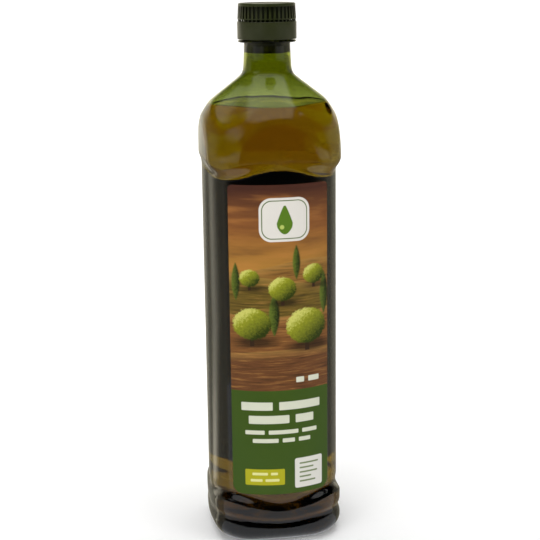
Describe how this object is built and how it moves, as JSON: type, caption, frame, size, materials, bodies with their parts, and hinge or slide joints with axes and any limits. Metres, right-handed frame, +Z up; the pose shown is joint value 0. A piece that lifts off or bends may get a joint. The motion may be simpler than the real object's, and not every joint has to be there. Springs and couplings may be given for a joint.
{
  "type": "olive oil bottle",
  "caption": "Tall square-shouldered clear green bottle of olive oil with a ribbed screw cap, a tamper band and printed paper labels.",
  "frame": {"origin": "middle of the base, on the surface that the bottle stands on", "axes": "+Z up through the neck, -Y out of the front label, +X to the right of someone who faces it"},
  "size_m": [0.0736, 0.0736, 0.2914],
  "materials": {
    "green_plastic": "clear blown plastic, glossy",
    "oil": "clear golden green oil",
    "black_plastic": "satin",
    "cap_plastic": "satin moulded plastic",
    "label_print": "coated paper, satin"
  },
  "bodies": {
    "root": {"bottle": "green_plastic", "oil": "oil", "pourer": "black_plastic", "tamper_band": "cap_plastic", "cap": "cap_plastic", "front_label": "label_print", "back_label": "label_print"}
  },
  "joints": []
}
